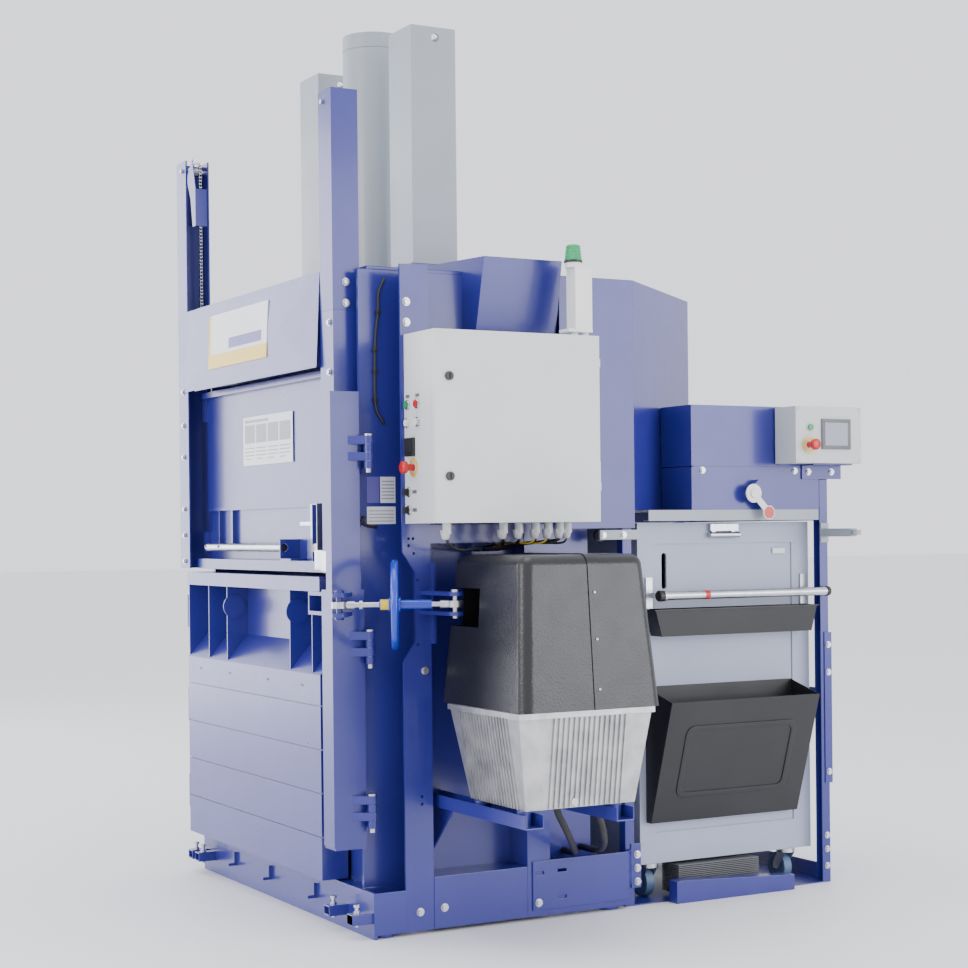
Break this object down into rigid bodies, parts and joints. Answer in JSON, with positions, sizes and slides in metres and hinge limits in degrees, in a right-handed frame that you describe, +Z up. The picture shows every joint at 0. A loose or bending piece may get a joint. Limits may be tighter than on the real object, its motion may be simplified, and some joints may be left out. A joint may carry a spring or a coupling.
{
  "type": "recycling baler",
  "caption": "Blue vertical recycling baler with a hydraulic press, bale door, sliding feed flap, switch cabinet and a docked feed trolley.",
  "frame": {"origin": "centre of the press base frame on the floor", "axes": "-Y faces the bale door at the front, +X is the side with the switch cabinet and the trolley face, +Z up"},
  "size_m": [2.165, 2.043, 3.088],
  "materials": {
    "machine_blue": "satin powder coat",
    "cabinet_grey": "fine textured powder coat",
    "press_grey": "satin paint",
    "bright_blue": "gloss paint",
    "zinc": "galvanised",
    "steel": "machined",
    "cast_aluminium": "as cast",
    "black_cover": "grained thermoformed sheet",
    "black_plastic": "matte",
    "black_rubber": "matte",
    "trolley_grey": "satin coated panel",
    "white_paint": "satin",
    "red_plastic": "gloss",
    "green_plastic": "gloss",
    "green_lens": "translucent moulded lens",
    "panel_grey": "satin",
    "blue_tyre": "elastic polyurethane"
  },
  "bodies": {
    "base": {"base_frame": "machine_blue", "chamber_walls": "machine_blue", "side_post": "machine_blue", "press_head": "press_grey", "cylinder_barrel": "press_grey", "pivot_pins": "steel", "front_hood": "machine_blue", "flap_guides": "machine_blue", "cabinet_body": "cabinet_grey", "cabinet_lamps": "green_plastic", "beacon_post": "white_paint", "beacon_lens": "green_lens", "press_hood": "machine_blue", "tower_cover": "machine_blue", "feed_box": "machine_blue", "feed_channel": "press_grey", "control_box": "panel_grey", "oil_tank": "cast_aluminium", "power_cover": "black_cover", "power_arms": "machine_blue", "motor_pump": "press_grey", "hydraulic_hoses": "black_rubber", "control_cables": "black_rubber", "dock_frame": "machine_blue", "machine_bolts": "zinc"},
    "bale_door": {"bale_door": "machine_blue"},
    "locking_beam": {"locking_beam": "machine_blue"},
    "rod_end_right": {"rod_end_right": "steel"},
    "rod_end_left": {"rod_end_left": "steel"},
    "turnbuckle_sleeve": {"turnbuckle_sleeve": "bright_blue"},
    "feed_flap": {"feed_flap": "machine_blue", "flap_handle": "zinc"},
    "flap_latch": {"flap_latch": "zinc"},
    "sprocket_left": {"sprocket_left": "steel"},
    "sprocket_right": {"sprocket_right": "steel"},
    "counterweights": {"counterweights": "machine_blue"},
    "ram": {"ram_platen": "press_grey", "piston_rod": "steel"},
    "cabinet_door": {"cabinet_door": "cabinet_grey"},
    "door_lock_upper": {"door_lock_upper": "black_plastic"},
    "door_lock_lower": {"door_lock_lower": "black_plastic"},
    "cabinet_button_start": {"cabinet_button_start": "green_plastic"},
    "cabinet_button_stop": {"cabinet_button_stop": "red_plastic"},
    "cabinet_estop": {"cabinet_estop": "red_plastic"},
    "selector_upper": {"selector_upper": "black_plastic"},
    "selector_lower": {"selector_lower": "black_plastic"},
    "feed_rake": {"feed_rake": "press_grey"},
    "stop_lever": {"stop_lever": "white_paint"},
    "panel_button": {"panel_button": "green_plastic"},
    "panel_estop": {"panel_estop": "red_plastic"},
    "trolley": {"trolley_body": "trolley_grey", "trolley_handle": "zinc", "trolley_tray": "black_plastic", "trolley_bin": "black_plastic"},
    "trolley_catch": {"trolley_catch": "zinc"},
    "rear_wheels": {"rear_wheels": "blue_tyre"},
    "caster_fork_left": {"caster_fork_left": "zinc"},
    "caster_wheel_left": {"caster_wheel_left": "blue_tyre"},
    "caster_fork_right": {"caster_fork_right": "zinc"},
    "caster_wheel_right": {"caster_wheel_right": "blue_tyre"}
  },
  "joints": [
    {"name": "door_swing", "type": "hinge", "parent": "base", "child": "bale_door", "pos_m": [-0.785, -0.5, 0.646], "axis": [0, 0, -1], "range_deg": [0, 100]},
    {"name": "wheel_spin", "type": "hinge", "parent": "rod_end_right", "child": "turnbuckle_sleeve", "pos_m": [0.92, -0.262, 1.058], "axis": [0.4428, 0.8966, 0], "range_deg": [0, 1430]},
    {"name": "beam_swing", "type": "hinge", "parent": "base", "child": "locking_beam", "pos_m": [0.716, -0.46, 1], "axis": [0, 0, 1], "range_deg": [0, 25.1]},
    {"name": "yoke_swing", "type": "hinge", "parent": "base", "child": "rod_end_right", "pos_m": [0.92, -0.262, 1.058], "axis": [0, 0, 1], "range_deg": [0, 5.7]},
    {"name": "rod_slide", "type": "slide", "parent": "rod_end_right", "child": "rod_end_left", "axis": [0.4428, 0.8966, 0], "range_m": [0, 0.0478]},
    {"name": "flap_slide", "type": "slide", "parent": "base", "child": "feed_flap", "axis": [0, 0, 1], "range_m": [0, 0.6]},
    {"name": "latch_lift", "type": "hinge", "parent": "feed_flap", "child": "flap_latch", "pos_m": [0.3582, -0.48, 1.265], "axis": [1, 0, 0], "range_deg": [0, 20]},
    {"name": "sprocket_left_turn", "type": "hinge", "parent": "base", "child": "sprocket_left", "pos_m": [-0.787, -0.463, 2.676], "axis": [0, 1, 0], "range_deg": [-984, 0]},
    {"name": "sprocket_right_turn", "type": "hinge", "parent": "base", "child": "sprocket_right", "pos_m": [0.527, -0.463, 2.676], "axis": [0, 1, 0], "range_deg": [0, 984]},
    {"name": "weight_drop", "type": "slide", "parent": "base", "child": "counterweights", "axis": [0, 0, -1], "range_m": [0, 0.6]},
    {"name": "ram_press", "type": "slide", "parent": "base", "child": "ram", "axis": [0, 0, -1], "range_m": [0, 0.78]},
    {"name": "cabinet_door_swing", "type": "hinge", "parent": "base", "child": "cabinet_door", "pos_m": [0.94, 0.258, 1.61], "axis": [0, 0, 1], "range_deg": [0, 110]},
    {"name": "door_lock_upper_turn", "type": "hinge", "parent": "cabinet_door", "child": "door_lock_upper", "pos_m": [0.962, -0.299, 1.765], "axis": [1, 0, 0], "range_deg": [0, 90]},
    {"name": "door_lock_lower_turn", "type": "hinge", "parent": "cabinet_door", "child": "door_lock_lower", "pos_m": [0.962, -0.299, 1.455], "axis": [1, 0, 0], "range_deg": [0, 90]},
    {"name": "button_start_press", "type": "slide", "parent": "base", "child": "cabinet_button_start", "axis": [0, 1, 0], "range_m": [0, 0.004], "stiffness_N_per_m": 800},
    {"name": "button_stop_press", "type": "slide", "parent": "base", "child": "cabinet_button_stop", "axis": [0, 1, 0], "range_m": [0, 0.004], "stiffness_N_per_m": 800},
    {"name": "cabinet_estop_press", "type": "slide", "parent": "base", "child": "cabinet_estop", "axis": [0, 1, 0], "range_m": [0, 0.006], "stiffness_N_per_m": 1500},
    {"name": "selector_upper_turn", "type": "hinge", "parent": "base", "child": "selector_upper", "pos_m": [0.781, -0.349, 1.409], "axis": [0, 1, 0], "range_deg": [-45, 45]},
    {"name": "selector_lower_turn", "type": "hinge", "parent": "base", "child": "selector_lower", "pos_m": [0.781, -0.349, 1.352], "axis": [0, 1, 0], "range_deg": [-45, 45]},
    {"name": "rake_swing", "type": "hinge", "parent": "base", "child": "feed_rake", "pos_m": [0.1, 0.64, 2], "axis": [-1, 0, 0], "range_deg": [0, 45]},
    {"name": "lever_lift", "type": "hinge", "parent": "base", "child": "stop_lever", "pos_m": [0.759, 1.015, 1.407], "axis": [1, 0, 0], "range_deg": [0, 40]},
    {"name": "panel_button_press", "type": "slide", "parent": "base", "child": "panel_button", "axis": [-1, 0, 0], "range_m": [0, 0.004], "stiffness_N_per_m": 800},
    {"name": "panel_estop_press", "type": "slide", "parent": "base", "child": "panel_estop", "axis": [-1, 0, 0], "range_m": [0, 0.006], "stiffness_N_per_m": 1500},
    {"name": "trolley_roll", "type": "slide", "parent": "base", "child": "trolley", "axis": [1, 0, 0], "range_m": [0, 0.6]},
    {"name": "catch_tilt", "type": "hinge", "parent": "trolley", "child": "trolley_catch", "pos_m": [0.679, 0.947, 1.262], "axis": [0, 1, 0], "range_deg": [0, 20]},
    {"name": "rear_wheels_roll", "type": "hinge", "parent": "trolley", "child": "rear_wheels", "pos_m": [-0.04, 0.9585, 0.0543], "axis": [0, 1, 0], "continuous": true},
    {"name": "caster_left_swivel", "type": "hinge", "parent": "trolley", "child": "caster_fork_left", "pos_m": [0.64, 0.636, 0.1], "axis": [0, 0, 1], "continuous": true},
    {"name": "caster_left_roll", "type": "hinge", "parent": "caster_fork_left", "child": "caster_wheel_left", "pos_m": [0.605, 0.636, 0.0543], "axis": [0, 1, 0], "continuous": true},
    {"name": "caster_right_swivel", "type": "hinge", "parent": "trolley", "child": "caster_fork_right", "pos_m": [0.64, 1.234, 0.1], "axis": [0, 0, 1], "continuous": true},
    {"name": "caster_right_roll", "type": "hinge", "parent": "caster_fork_right", "child": "caster_wheel_right", "pos_m": [0.605, 1.234, 0.0543], "axis": [0, 1, 0], "continuous": true}
  ],
  "couplings": [
    {"joint": "beam_swing", "follows": "wheel_spin", "ratio": 0.017507},
    {"joint": "yoke_swing", "follows": "wheel_spin", "ratio": 0.003922},
    {"joint": "rod_slide", "follows": "wheel_spin", "m_per_rad": 0.00191},
    {"joint": "weight_drop", "follows": "flap_slide", "ratio": 1},
    {"joint": "sprocket_left_turn", "follows": "flap_slide", "rad_per_m": -28.571},
    {"joint": "sprocket_right_turn", "follows": "flap_slide", "rad_per_m": 28.571}
  ]
}
